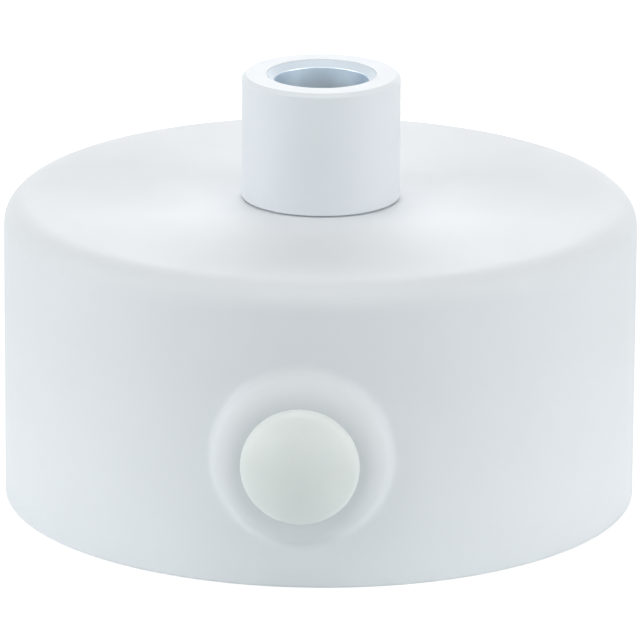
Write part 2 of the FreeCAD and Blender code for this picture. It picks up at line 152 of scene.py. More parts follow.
class CollarSizes(bpy.types.PropertyGroup):
    """Sizes of the cord grip: the collar, its bush and its screw."""

    mouth_diameter: length("Mouth", 11.9, "Diameter of the open mouth")
    mouth_chamfer: length("Mouth chamfer", 0.85, "Chamfer round the mouth")
    thread_diameter: length("Thread", 10.1, "Diameter of the tapped lower bore")
    top_chamfer: length("Top chamfer", 0.5, "Chamfer of the collar's top edge")
    edge_soft: length("Edge softness", 0.12, "Rounding that the paint gives every edge")
    paint_line: length("Paint line", 0.12, "Width of the fine groove where the paint ends at the mouth")
    foot_step: length("Foot step", 0.25, "Height of the shadow line under the collar")
    foot_inset: length("Foot inset", 0.6, "How deep the shadow line is")
    bush_bore: length("Bush bore", 7.2, "Bore of the split bush")
    bush_slit: length("Bush slit", 1.2, "Width of the bush's slit")
    bush_chamfer: length("Bush chamfer", 0.4, "Chamfer of the bush's mouth")
    thread_gap: length("Grub clearance", 0.05, "Clearance round the grub screw")
    grub_tip: length("Grub tip", 0.4, "Chamfer of the grub screw's tip")
    grub_pitch: length("Grub pitch", 0.7, "Pitch of the grub screw's thread")
    grub_socket: length("Grub socket", 2.0, "Across the flats of the grub screw's socket")
    grub_socket_depth: length("Grub socket depth", 1.8, "Depth of the grub screw's socket")


class PlugSizes(bpy.types.PropertyGroup):
    """Sizes of the push-in plug of the side outlet."""

    head_rise: length("Head rise", 3.9, "How far the dome stands out of the boss")
    head_skirt: length("Head skirt", 0.3, "Straight edge below the dome")
    head_edge: length("Head edge", 1.8, "Rounding between the skirt and the dome")
    stem_diameter: length("Stem", 10.1, "Outer diameter of the split stem")
    stem_wall: length("Stem wall", 1.2, "Wall of the split stem")
    neck_depth: length("Neck depth", 0.15, "How deep the neck is cut for the sheet")
    slot_width: length("Slot", 1.6, "Width of the stem's slots")
    slot_stop: length("Slot stop", 2.0, "Where the slots stop short of the head")
    tip_chamfer: length("Tip chamfer", 0.7, "Chamfer of the stem's tip")
    recess_width: length("Recess", 1.0, "Width of the recess under the head")
    recess_depth: length("Recess depth", 0.8, "Depth of the recess under the head")
    edge_soft: length("Edge softness", 0.1, "Rounding of the moulding's edges")


class FixingSizes(bpy.types.PropertyGroup):
    """Sizes of the nipple, its nuts and washer, and the bracket."""

    nipple_bore: length("Nipple bore", 8.0, "Bore of the hollow nipple")
    nipple_pitch: length("Nipple pitch", 1.0, "Pitch of the nipple's fine thread")
    nipple_thread_depth: length("Nipple thread depth", 0.5, "Depth of the nipple's thread")
    edge_bush_bore: length("Edge bush bore", 7.0, "Bore of the flanged nylon sleeve")
    edge_bush_round: length("Edge bush rounding", 0.4, "Rounding of the sleeve's mouth")
    nut_across_flats: length("Nut", 14.0, "Across the flats of the thin lock nuts")
    nut_corner_drop: length("Nut corner", 0.5, "How far the nuts' corners are turned down")
    washer_sheet: length("Washer sheet", 0.5, "Sheet of the toothed washer before its teeth are set")
    washer_root: length("Washer root", 6.6, "Radius where the washer's teeth start")
    strip: length("Strip", 1.5, "Thickness of the bracket's strip")
    strip_width: length("Strip width", 14.0, "Width of the bracket's strip")
    bend_radius: length("Bend", 1.0, "Inner radius of the strip's bends")
    corner_radius: length("Corner", 3.0, "Radius of the feet's corners")
    slot_place: length("Slot place", 29.5, "Where each ceiling slot lies along the bracket")
    slot_length: length("Slot length", 10.0, "End-to-end length of a ceiling slot")
    slot_width: length("Slot width", 4.5, "Width of a ceiling slot")
    leg_place: length("Leg place", 23.0, "Where each leg's outer face lies")
    tab_width: length("Tab width", 18.2, "Width of the terminal tab")
    tab_tip: length("Tab tip", 9.0, "Height of the tab's lower end")
    saddle_sheet: length("Saddle sheet", 0.8, "Sheet of the earth saddle washer")
    earth_diameter: length("Earth screw", 4.0, "Thread of the earth screw")
    earth_pitch: length("Earth pitch", 0.7, "Pitch of the earth screw's thread")
    earth_slot: length("Earth slot", 1.2, "Width and depth of the earth screw's slot")
    nut_gap: length("Nut clearance", 0.05, "Clearance round a thread")
    bracket_gap: length("Bracket clearance", 0.2, "Clearance of the bracket's hole")
    edge_soft: length("Edge softness", 0.1, "Rounding of the punched edges")
    washer_notch: length("Washer notch", 1.5, "Gap between two teeth of the washer")
    washer_teeth: IntProperty(name="Teeth", description="Teeth of the washer", default=12, min=3)


class TerminalSizes(bpy.types.PropertyGroup):
    """Sizes of the terminal block."""

    pole_wall: length("Pole wall", 0.8, "Wall of each insulated pole")
    pole_height: length("Pole height", 7.2, "Height of a pole above the tab")
    pole_bore: length("Pole bore", 4.3, "Bore that holds the brass sleeve")
    axis_height: length("Axis height", 3.4, "Height of the wire's axis above the tab")
    pole_pitch: length("Pole pitch", 9.8, "Distance from pole to pole")
    tower_diameter: length("Tower", 5.8, "Diameter of a screw tower")
    tower_bore: length("Tower bore", 4.2, "Bore of a screw tower")
    tower_place: length("Tower place", 4.2, "Distance of each tower from the pole's middle")
    web_height: length("Web height", 2.4, "Height of the web between the poles")
    web_length: length("Web length", 9.0, "Length of the web along the wire")
    sleeve_bore: length("Sleeve bore", 2.8, "Bore of the brass sleeve")
    screw_diameter: length("Screw", 2.5, "Thread of the clamping screws")
    screw_pitch: length("Screw pitch", 0.45, "Pitch of the clamping screws' thread")
    fixing_diameter: length("Fixing screw", 2.0, "Thread of the block's fixing screws")
    fixing_pitch: length("Fixing pitch", 0.4, "Pitch of the fixing screws' thread")
    screw_head: length("Screw head", 1.8, "Height of a clamping screw's head")
    slot_width: length("Slot", 0.6, "Width of the screws' slots")
    slot_depth: length("Slot depth", 0.8, "Depth of the screws' slots")
    gap: length("Clearance", 0.05, "Clearance round a screw")
    edge_round: length("Edge round", 0.2, "Rounding of the moulding's edges")


class Finishes(bpy.types.PropertyGroup):
    """Colours of the finishes."""

    cup_paint: colour("Cup paint", (0.807, 0.832, 0.857), "Matt powder paint of the cup")
    collar_paint: colour("Collar paint", (0.843, 0.876, 0.91), "Smoother paint of the collar")
    thin_paint: colour("Thin paint", (0.79, 0.86, 0.925), "Thin paint on the chamfer of the mouth")
    plug_nylon: colour("Plug nylon", (0.80, 0.84, 0.82), "Moulded nylon of the outlet plug")
    zinc: colour("Zinc", (0.60, 0.62, 0.65), "Zinc plating of the bracket, nuts and screws")
    bare_metal: colour("Bare metal", (0.71, 0.797, 0.885), "Unpainted bore of the collar")
    bush_nylon: colour("Bush nylon", (0.80, 0.79, 0.74), "Natural nylon of the bushes")
    housing_nylon: colour("Housing nylon", (0.80, 0.80, 0.77), "White nylon of the terminal block")
    brass: colour("Brass", (0.72, 0.53, 0.24), "Brass of the terminal sleeves")


class StageSettings(bpy.types.PropertyGroup):
    """Camera, lamps and floor."""

    focal_length: amount("Lens", 435.7, "Focal length in millimetres")
    distance: length("Distance", 982.47, "From the camera to the point it looks at")
    azimuth: angle("Azimuth", 3.1, "Camera's turn about the rose")
    elevation: angle("Elevation", 17.06, "Camera's height angle")
    roll: angle("Roll", 0.34, "Camera's turn about its own axis")
    aim_height: length("Aim height", 22.1, "Height of the point that the camera looks at")
    top_power: power("Top", 1.52, "overhead")
    back_power: power("Back", 2.25, "behind")
    left_power: power("Left", 1.38, "on the left")
    right_power: power("Right", 1.5, "on the right")
    left_front_power: power("Left front", 0.7, "in front on the left")
    right_front_power: power("Right front", 0.47, "in front on the right")
    front_colour: colour("Front colour", (0.95, 1.0, 1.0), "Colour of the two lamps in front")
    ambient: amount("Ambient", 0.0, "Strength of the surrounding light")
    floor_glow: amount("Floor glow", 0.4, "Light added to the floor that is seen")
    floor_bounce: colour("Floor bounce", (0.90, 0.935, 0.945), "Colour of the floor's light on the rose")


def arc(centre, radius, start, end, steps):
    """Points of an arc in a flat outline, from one angle to another, both ends included."""
    points = []
    for step in range(steps + 1):
        slope = start + (end - start) * step / steps
        points.append(Vector(centre) + radius * Vector((math.cos(slope), math.sin(slope))))
    return points


def rounded(corners, closed=True, steps=CORNER_STEPS):
    """Points of a flat outline; a corner is (u, v) or (u, v, radius), rounded by that radius."""
    points = []
    last = len(corners) - 1
    for index, corner in enumerate(corners):
        here = Vector(corner[:2])
        radius = corner[2] if len(corner) > 2 else 0.0
        if radius <= 0.0 or (not closed and index in (0, last)):
            points.append(here)
            continue
        before = (Vector(corners[index - 1][:2]) - here).normalized()
        after = (Vector(corners[(index + 1) % len(corners)][:2]) - here).normalized()
        half_angle = before.angle(after) / 2
        centre = here + (before + after).normalized() * radius / math.sin(half_angle)
        reach = radius / math.tan(half_angle)
        first = here + before * reach - centre
        end = here + after * reach - centre
        start = math.atan2(first.y, first.x)
        turn = (math.atan2(end.y, end.x) - start + math.pi) % FULL_TURN - math.pi
        points += arc(centre, radius, start, start + turn, steps)
    return points


def between(low, high, lower, steps=CORNER_STEPS):
    """An outline between two levels from its lower half, given as (u, inset) or (u, inset, radius)."""
    corners = [(u, low + inset, *radius) for u, inset, *radius in lower]
    corners += [(u, high - inset, *radius) for u, inset, *radius in reversed(lower)]
    return rounded(corners, steps=steps)


def both_sides(right):
    """An outline from the corners of its right half, which its left half mirrors."""
    return rounded(right + [(-u, v, *radius) for u, v, *radius in reversed(right)])


def oblong(half_u, half_v, radius=0.0, centre=(0.0, 0.0), steps=CORNER_STEPS):
    """A rectangle with rounded corners round a centre, as an outline."""
    u, v = centre
    return between(v - half_v, v + half_v, [(u - half_u, 0.0, radius), (u + half_u, 0.0, radius)], steps)


def circle(radius, segments=SMALL, centre=(0.0, 0.0)):
    """A circle as an outline."""
    return arc(centre, radius, 0.0, FULL_TURN, segments)[:-1]


def circles(radius, centres):
    """Equal circles round several centres."""
    return [circle(radius, SMALL, centre) for centre in centres]


def skin(bm, rings, closed=False):
    """Faces between rings of equal length; a ring of one vertex is a pole."""
    pairs = list(zip(rings, rings[1:]))
    if closed:
        pairs.append((rings[-1], rings[0]))
    for one, two in pairs:
        count = max(len(one), len(two))
        for index in range(count):
            after = (index + 1) % count
            if len(one) == 1:
                bm.faces.new((one[0], two[index], two[after]))
            elif len(two) == 1:
                bm.faces.new((one[index], two[0], one[after]))
            else:
                bm.faces.new((one[index], two[index], two[after], one[after]))


class Thread:
    """A right-hand thread cut into the outside of a turned piece."""

    def __init__(self, crest, pitch, depth, low=-1.0, high=1.0):
        self.crest = crest
        self.pitch = pitch
        self.depth = depth
        self.low = low
        self.high = high

    def covers(self, point):
        """Whether a point of the outline lies on the threaded stretch."""
        on_crest = self.crest - self.depth - TINY <= point[0] <= self.crest + TINY
        return on_crest and self.low - TINY <= point[1] <= self.high + TINY

    def sampled(self, outline):
        """The outline with points added along the threaded stretch."""
        step = self.pitch / THREAD_SAMPLES
        points = []
        for index, point in enumerate(outline):
            after = outline[(index + 1) % len(outline)]
            points.append(point)
            if self.covers(point) and self.covers(after):
                parts = math.ceil((after - point).length / step)
                points += [point.lerp(after, part / parts) for part in range(1, parts)]
        return points

    def radius(self, point, turn):
        """The cut radius at a point of the outline, at one turn about the axis."""
        if not self.covers(point):
            return point[0]
        phase = (point[1] / self.pitch - turn / FULL_TURN) % 1.0
        groove = 1.0 - abs(2.0 * phase - 1.0)
        groove = min(max((groove - THREAD_FLAT) / (1.0 - 2 * THREAD_FLAT), 0.0), 1.0)
        return min(point[0], self.crest - self.depth * groove)


def new_object(name, bm, place=None):
    """A mesh object from its bmesh, placed in its mesh and with its faces turned outwards."""
    bmesh.ops.remove_doubles(bm, verts=bm.verts, dist=TINY)
    bmesh.ops.recalc_face_normals(bm, faces=bm.faces)
    if place is not None:
        bm.transform(place)
    mesh = bpy.data.meshes.new(name)
    bm.to_mesh(mesh)
    bm.free()
    made = bpy.data.objects.new(name, mesh)
    bpy.context.scene.collection.objects.link(made)
    return made


def turned(name, outline, segments=MEDIUM, thread=None, closed=True, place=None):
    """A piece turned about Z from its outline of (radius, height)."""
    bm = bmesh.new()
    if thread:
        outline = thread.sampled(outline)
    rings = []
    for point in outline:
        if point[0] < TINY:
            rings.append([bm.verts.new((0.0, 0.0, point[1]))])
            continue
        ring = []
        for index in range(segments):
            turn = FULL_TURN * index / segments
            radius = thread.radius(point, turn) if thread else point[0]
            ring.append(bm.verts.new((radius * math.cos(turn), radius * math.sin(turn), point[1])))
        rings.append(ring)
    skin(bm, rings, closed)
    return new_object(name, bm, place)


# Where an outline's u and v, and the level along the prism, go for each plane that it is drawn in
PLANES = {
    "XY": lambda u, v, level: (u, v, level),
    "XZ": lambda u, v, level: (u, level, v),
    "YZ": lambda u, v, level: (level, u, v),
}


def prisms(name, outlines, low, high, plane="XY", place=None):
    """Prisms from flat outlines in one object, each along the axis that its plane leaves out."""
    bm = bmesh.new()
    for outline in outlines:
        ends = [[bm.verts.new(PLANES[plane](u, v, level)) for u, v in outline] for level in (low, high)]
        for end in ends:
            bm.faces.new(end)
        skin(bm, ends)
    return new_object(name, bm, place)


def prism(name, outline, low, high, plane="XY", place=None):
    """A prism from one flat outline."""
    return prisms(name, [outline], low, high, plane, place)


def settle(made):
    """Applies every modifier of an object to its mesh."""
    graph = bpy.context.evaluated_depsgraph_get()
    mesh = bpy.data.meshes.new_from_object(made.evaluated_get(graph))
    made.modifiers.clear()
    old = made.data
    made.data = mesh
    bpy.data.meshes.remove(old)


def carve(made, tools, operation="DIFFERENCE"):
    """Cuts away, adds or keeps what the tools cover, and removes the tools."""
    for tool in tools:
        modifier = made.modifiers.new(tool.name, "BOOLEAN")
        modifier.object = tool
        modifier.operation = operation
        modifier.solver = "EXACT"
    settle(made)
    for tool in tools:
        mesh = tool.data
        bpy.data.objects.remove(tool)
        bpy.data.meshes.remove(mesh)


def break_edges(made, width):
    """Rounds every sharp edge by a small width."""
    modifier = made.modifiers.new("edge break", "BEVEL")
    modifier.width = width
    modifier.segments = 2
    modifier.limit_method = "ANGLE"
    modifier.angle_limit = SHARP_ABOVE
    settle(made)


def dress(made, node, look, body="base"):
    """Shades a piece, gives it its finish, and puts it on its body in place of its plain solid."""
    made.data.materials.clear()
    made.data.materials.append(finish(look))
    made.data.shade_smooth()
    made.data.set_sharp_from_angle(angle=SHARP_ABOVE)
    modifier = made.modifiers.new("flat faces stay flat", "WEIGHTED_NORMAL")
    modifier.keep_sharp = True
    settle(made)
    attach(made, body)
    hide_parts(node)


def laid(y, z, toward=1):
    """Lays a piece made along +Z so that it points along +Y, or along -Y with toward at -1."""
    return Matrix.Translation((0.0, y, z)) @ Matrix.Rotation(-toward * QUARTER_TURN, 4, "X")


class Nodes:
    """The nodes of a material or of the surroundings."""

    def __init__(self, owner):
        owner.use_nodes = True
        self.nodes = owner.node_tree.nodes
        self.links = owner.node_tree.links

    def feed(self, socket, value):
        """Links a socket to another node's output, or gives it a value of its own."""
        if isinstance(value, bpy.types.NodeSocket):
            self.links.new(value, socket)
        else:
            socket.default_value = value

    def node(self, kind, sockets, **settings):
        """The outputs of a new node with these settings and sockets."""
        made = self.nodes.new("ShaderNode" + kind)
        for name, setting in settings.items():
            setattr(made, name, setting)
        for name, value in sockets.items():
            self.feed(made.inputs[name], value)
        return made.outputs

    def mapped(self, value, source, target):
        """A value carried over from one range to another."""
        limits = zip(("From Min", "From Max", "To Min", "To Max"), (*source, *target))
        return self.node("MapRange", {"Value": value, **dict(limits)})["Result"]

    def seen(self):
        """1 for what the camera sees, straight or in a gloss, and 0 for the light that falls on the rose."""
        rays = self.node("LightPath", {})
        total = rays["Is Camera Ray"]
        for name in ("Is Glossy Ray", "Is Transmission Ray"):
            total = self.node("Math", {0: total, 1: rays[name]}, operation="MAXIMUM")["Value"]
        return total


class Surface(Nodes):
    """The material of one finish."""

    # Lowest and highest usual value of a pattern
    PATTERN = (0.3, 0.7)

    def __init__(self, name):
        self.material = bpy.data.materials.new(name)
        super().__init__(self.material)
        self.shader = self.nodes["Principled BSDF"]
        self.place = self.node("TexCoord", {})["Object"]

    def set(self, **values):
        """Feeds the shader's own sockets, by their names with underscores."""
        for name, value in values.items():
            self.feed(self.shader.inputs[name.replace("_", " ")], value)

    def stretched(self, scale):
        """The object's coordinates, stretched."""
        return self.node("Mapping", {"Vector": self.place, "Scale": scale})["Vector"]

    def height(self):
        """The height of each place."""
        return self.node("SeparateXYZ", {"Vector": self.place})["Z"]

    def noise(self, grain, detail=3.0, scale=(1.0, 1.0, 1.0)):
        """Noise whose grain is about that many metres across."""
        sockets = {"Vector": self.stretched(scale), "Scale": 1.0 / grain, "Detail": detail}
        return self.node("TexNoise", sockets)["Fac"]

    def cup_painted_light(self):
        """Painted light and shade in the cup's paint: paler towards the rim, darker on the boss."""
        wall = self.mapped(self.height(), (0.0, PAINTED_LIGHT_HEIGHT), (RIM_PAINTED_LIGHT, 1.0))
        reach = self.node("VectorMath", {0: self.stretched((1.0, 1.0, 0.0))}, operation="LENGTH")["Value"]
        on_boss = self.mapped(reach, (CUP.high.x, CUP.high.x + BOSS_PAINTED_SHADE_RISE), (0.0, 1.0))
        return self.node("Mix", {"Factor": on_boss, "A": wall, "B": BOSS_PAINTED_SHADE})["Result"]

    def tint(self, pattern, base, spread, shade=None):
        """Lets the base colour drift either way with a pattern, scaled by painted light and shade where
        given.
        """
        ramp = self.nodes.new("ShaderNodeValToRGB")
        self.feed(ramp.inputs["Fac"], pattern)
        for element, position, drift in zip(ramp.color_ramp.elements, self.PATTERN, (-spread, spread)):
            element.position = position
            element.color = [min(channel * (1.0 + drift), 1.0) for channel in base] + [1.0]
        drifting = ramp.outputs["Color"]
        if shade is not None:
            drifting = self.node("VectorMath", {0: drifting, "Scale": shade}, operation="SCALE")["Vector"]
        self.set(Base_Color=drifting)

    def roughen(self, pattern, low, high):
        """Lets the roughness run from low to high with a pattern."""
        self.set(Roughness=self.mapped(pattern, self.PATTERN, (low, high)))

    def relief(self, pattern, depth):
        """Raises the surface by a pattern, in metres."""
        self.set(Normal=self.node("Bump", {"Height": pattern, "Distance": depth})["Normal"])


def painted(name, base, roughness, peel, with_painted_light=False):
    """Sprayed matt paint with a faint orange peel; on the cup, with painted light and shade in its colour."""
    surface = Surface(name)
    surface.set(Specular_IOR_Level=MATT_SPECULAR, IOR=1.5)
    # Painted light towards the rim and painted shade on the boss, only on the cup
    shade = surface.cup_painted_light() if with_painted_light else None
    surface.tint(surface.noise(grain=9 * MM, detail=2.0), base, spread=0.006, shade=shade)
    surface.roughen(surface.noise(grain=3 * MM), low=roughness - 0.03, high=roughness + 0.03)
    surface.relief(surface.noise(grain=0.9 * MM, detail=2.0), depth=peel)
    return surface.material


def moulded(name, base, roughness, scatter):
    """Moulded nylon that lets a little light in."""
    surface = Surface(name)
    surface.set(
        Specular_IOR_Level=0.5, IOR=1.53, Subsurface_Weight=scatter, Subsurface_Scale=1.2 * MM,
        Subsurface_Radius=(1.0, 0.9, 0.75),
    )
    surface.tint(surface.noise(grain=4 * MM, detail=2.0), base, spread=0.012)
    surface.roughen(surface.noise(grain=1.5 * MM), low=roughness - 0.04, high=roughness + 0.05)
    surface.relief(surface.noise(grain=0.35 * MM, detail=2.0), depth=0.004 * MM)
    return surface.material


def plated(name, base, roughness, scale, painted_shade_depth=0.0):
    """Zinc-plated or turned metal with fine tool marks; a bore may be painted darker with depth, as painted
    shade.
    """
    surface = Surface(name)
    surface.set(Metallic=1.0)
    # Painted shade: the bore's colour darkens from its mouth down to this depth
    if painted_shade_depth:
        reach = (COLLAR.high.z - painted_shade_depth, COLLAR.high.z)
        surface.tint(surface.mapped(surface.height(), reach, surface.PATTERN), base, spread=0.14)
    else:
        surface.tint(surface.noise(grain=2.5 * MM), base, spread=0.07)
    marks = {"detail": 4.0, "scale": scale}
    surface.roughen(surface.noise(grain=1.2 * MM, **marks), low=roughness - 0.07, high=roughness + 0.1)
    surface.relief(surface.noise(grain=0.5 * MM, **marks), depth=0.004 * MM)
    return surface.material


# The maker of each finish and what it needs beside the colour, first the roughness
FINISHES = {
    # The cup's paint carries painted light towards the rim and painted shade on the boss
    "cup_paint": (painted, 0.66, 0.006 * MM, True),
    "collar_paint": (painted, 0.58, 0.004 * MM),
    "thin_paint": (painted, 0.5, 0.004 * MM),
    "plug_nylon": (moulded, 0.42, 0.15),
    "zinc": (plated, 0.3, (0.12, 1.0, 1.0)),
    # The collar's bare bore is painted darker with depth, as painted shade
    "bare_metal": (plated, 0.38, (1.0, 1.0, 8.0), 3.4 * MM),
    "bush_nylon": (moulded, 0.42, 0.3),
    "housing_nylon": (moulded, 0.45, 0.2),
    "brass": (plated, 0.27, (1.0, 1.0, 0.12)),
}


def finish(name):
    """The material of one finish, made when it is first asked for."""
    label = "rose_" + name
    if label not in bpy.data.materials:
        maker, *looks = FINISHES[name]
        maker(label, list(getattr(bpy.context.scene.rose_finishes, name)), *looks)
    return bpy.data.materials[label]


class PressedSide:
    """One side of the cup's sheet: its outside at inset 0, its inside at one wall."""

    COLUMNS = FINE
    WINDOW_COLUMNS = 15
    WINDOW_ROWS = 30
    WINDOW_REACH = 14.1 * MM
    FLAT_STEPS = 3
    SHOULDER_STEPS = 9
    SIDE_STEPS = 2
    ROOT_STEPS = 6
    SPREAD_STEPS = 6
    EDGE_STEPS = 10
    CONTACT_ROUNDS = 12
    SUPPORT = 0.15 * MM
    # Where the flat top has rings, as shares of the way from the centre hole to the rounded edge
    TOP_SHARES = (0.99, 0.6, 0.25, 0.01, 0.0)

    def __init__(self, bm, sizes, inset, hole_lip):
        self.bm = bm
        self.radius = CUP.high.x - inset
        self.top = CUP.high.z - inset
        self.edge = sizes.edge_radius - inset
        self.boss_face = -CUP.low.y - inset
        self.shoulder = sizes.boss_shoulder - inset
        self.arc_centre = sizes.boss_diameter / 2 - inset - self.shoulder
        self.arc_forward = self.boss_face - self.shoulder
        self.root = sizes.boss_root + inset
        self.outlet = sizes.outlet_diameter / 2
        self.centre_hole = sizes.centre_hole_diameter / 2
        self.outlet_height = PLUG.middle.z
        self.break_width = sizes.edge_break
        self.lip = hole_lip

    def round_wall(self, radius, turn, height):
        """A place round the cup's axis; turn 0 is at the front."""
        return Vector((radius * math.sin(turn), -radius * math.cos(turn), height))

    def ring(self, radius, height):
        """A whole ring of vertices at one height."""
        turns = [FULL_TURN * column / self.COLUMNS for column in range(self.COLUMNS)]
        return [self.bm.verts.new(self.round_wall(radius, turn, height)) for turn in turns]

    def place_rows(self):
        """Heights of the wall's rows, with even rows across the boss's window."""
        low = self.outlet_height - self.WINDOW_REACH
        high = self.outlet_height + self.WINDOW_REACH
        start = self.break_width
        wall_top = self.top - self.edge
        below = [start, start + self.SUPPORT, (start + low) / 2]
        window = [low + (high - low) * row / self.WINDOW_ROWS for row in range(self.WINDOW_ROWS + 1)]
        self.heights = below + window + [(high + wall_top) / 2, wall_top - self.SUPPORT, wall_top]
        self.first = len(below)
        self.last = self.first + self.WINDOW_ROWS

    def build_wall(self):
        """The round wall with a window left open for the boss; returns its lowest and highest rows."""
        self.place_rows()
        rows = [self.ring(self.radius, height) for height in self.heights]
        window = range(-self.WINDOW_COLUMNS, self.WINDOW_COLUMNS)
        for row, (lower, upper) in enumerate(zip(rows, rows[1:])):
            for column in range(self.COLUMNS):
                offset = (column + self.COLUMNS // 2) % self.COLUMNS - self.COLUMNS // 2
                if offset in window and self.first <= row < self.last:
                    continue
                after = (column + 1) % self.COLUMNS
                self.bm.faces.new((lower[column], lower[after], upper[after], upper[column]))
        self.build_boss(rows)
        for row in rows[self.first + 1:self.last]:
            for offset in window[1:]:
                self.bm.verts.remove(row[offset % self.COLUMNS])
        return rows[0], rows[-1]

    def window_edge(self):
        """Row and column steps round the window, as (row, column offset)."""
        reach = self.WINDOW_COLUMNS
        steps = [(row, reach) for row in range(self.first, self.last)]
        steps += [(self.last, offset) for offset in range(reach, -reach, -1)]
        steps += [(row, -reach) for row in range(self.last, self.first, -1)]
        steps += [(self.first, offset) for offset in range(-reach, reach)]
        return steps

    def root_ball(self, direction):
        """The ball that rounds the boss's root: its centre's distance from the boss's axis, its centre
        forward of the cup's axis, and how far that lies past the shoulder's own centre."""
        reach = self.arc_centre + self.shoulder + self.root
        for _ in range(self.CONTACT_ROUNDS):
            forward = math.sqrt((self.radius + self.root) ** 2 - (reach * direction) ** 2)
            past = max(forward - self.arc_forward, 0.0)
            reach = self.arc_centre + math.sqrt((self.shoulder + self.root) ** 2 - past ** 2)
        return reach, forward, past

    def spoke(self, angle_up, edge_turn, edge_height):
        """Places from the outlet's hole, over the boss and down its root, out to the window's edge."""
        across = math.cos(angle_up)
        up = math.sin(angle_up)
        reach, ball_forward, past = self.root_ball(across)
        start = self.outlet + self.break_width
        outline = [(self.outlet, self.boss_face - self.lip)]
        for step in range(self.FLAT_STEPS + 1):
            outline.append((start + (self.arc_centre - start) * step / self.FLAT_STEPS, self.boss_face))
        contact = math.asin(min(past / (self.shoulder + self.root), 1.0))
        centre = (self.arc_centre, self.arc_forward)
        outline += arc(centre, self.shoulder, QUARTER_TURN, contact, self.SHOULDER_STEPS)[1:]
        side, side_top = outline[-1]
        side_drop = max(self.arc_forward - ball_forward, 0.0)
        for step in range(1, self.SIDE_STEPS + 1):
            outline.append((side, side_top - side_drop * step / self.SIDE_STEPS))
        places = []
        for distance, forward in outline:
            places.append(Vector((distance * across, -forward, self.outlet_height + distance * up)))
        ball = Vector((reach * across, -ball_forward, self.outlet_height + reach * up))
        start_arm = (places[-1] - ball).normalized()
        end_arm = Vector((-ball.x, -ball.y, 0.0)).normalized()
        for step in range(1, self.ROOT_STEPS + 1):
            arm = start_arm.slerp(end_arm, step / self.ROOT_STEPS)
            places.append(ball + arm.normalized() * self.root)
        foot = places[-1]
        foot_turn = math.atan2(foot.x, -foot.y)
        for step in range(1, self.SPREAD_STEPS):
            share = step / self.SPREAD_STEPS
            turn = foot_turn + (edge_turn - foot_turn) * share
            places.append(self.round_wall(self.radius, turn, foot.z + (edge_height - foot.z) * share))
        return places

    def build_boss(self, rows):
        """The boss and the wall round it, from the outlet's hole to the window's edge."""
        spokes = []
        for row, offset in self.window_edge():
            edge_turn = FULL_TURN * offset / self.COLUMNS
            edge_height = self.heights[row]
            angle_up = math.atan2(edge_height - self.outlet_height, CUP.high.x * edge_turn)
            spoke = [self.bm.verts.new(place) for place in self.spoke(angle_up, edge_turn, edge_height)]
            spokes.append(spoke + [rows[row][offset % self.COLUMNS]])
        loops = list(zip(*spokes))
        skin(self.bm, loops)
        self.outlet_loop = loops[0]

    def build(self):
        """The whole side; returns its rim loop, its centre hole loop and its outlet loop."""
        lowest, highest = self.build_wall()
        corner = self.radius - self.edge
        outline = arc((corner, self.top - self.edge), self.edge, 0.0, QUARTER_TURN, self.EDGE_STEPS)[1:]
        start = self.centre_hole + self.break_width
        outline += [(start + (corner - start) * share, self.top) for share in self.TOP_SHARES]
        outline.append((self.centre_hole, self.top - self.lip))
        rings = [highest] + [self.ring(radius, height) for radius, height in outline]
        skin(self.bm, rings)
        return lowest, rings[-1], self.outlet_loop


class ROSE_OT_cup(bpy.types.Operator):
    """Draws the cup with the side boss pressed out of its wall"""

    bl_idname = "rose.cup"
    bl_label = "Cup"

    RIM_STEPS = 3

    def execute(self, context):
        sizes = context.scene.rose_cup
        width = sizes.edge_break
        bm = bmesh.new()
        outside = PressedSide(bm, sizes, 0.0, width)
        inside = PressedSide(bm, sizes, sizes.wall, -width)
        outer_rim, outer_centre, outer_outlet = outside.build()
        inner_rim, inner_centre, inner_outlet = inside.build()
        outer = arc((outside.radius - width, width), width, 0.0, -QUARTER_TURN, self.RIM_STEPS)
        inner = arc((inside.radius + width, width), width, -QUARTER_TURN, -2 * QUARTER_TURN, self.RIM_STEPS)
        rounding = [outside.ring(radius, height) for radius, height in outer[1:] + inner[:-1]]
        skin(bm, [outer_rim, *rounding, inner_rim])
        skin(bm, [outer_centre, inner_centre])
        skin(bm, [outer_outlet, inner_outlet])
        dress(new_object("cup_sheet", bm), "cup", "cup_paint")
        return {"FINISHED"}


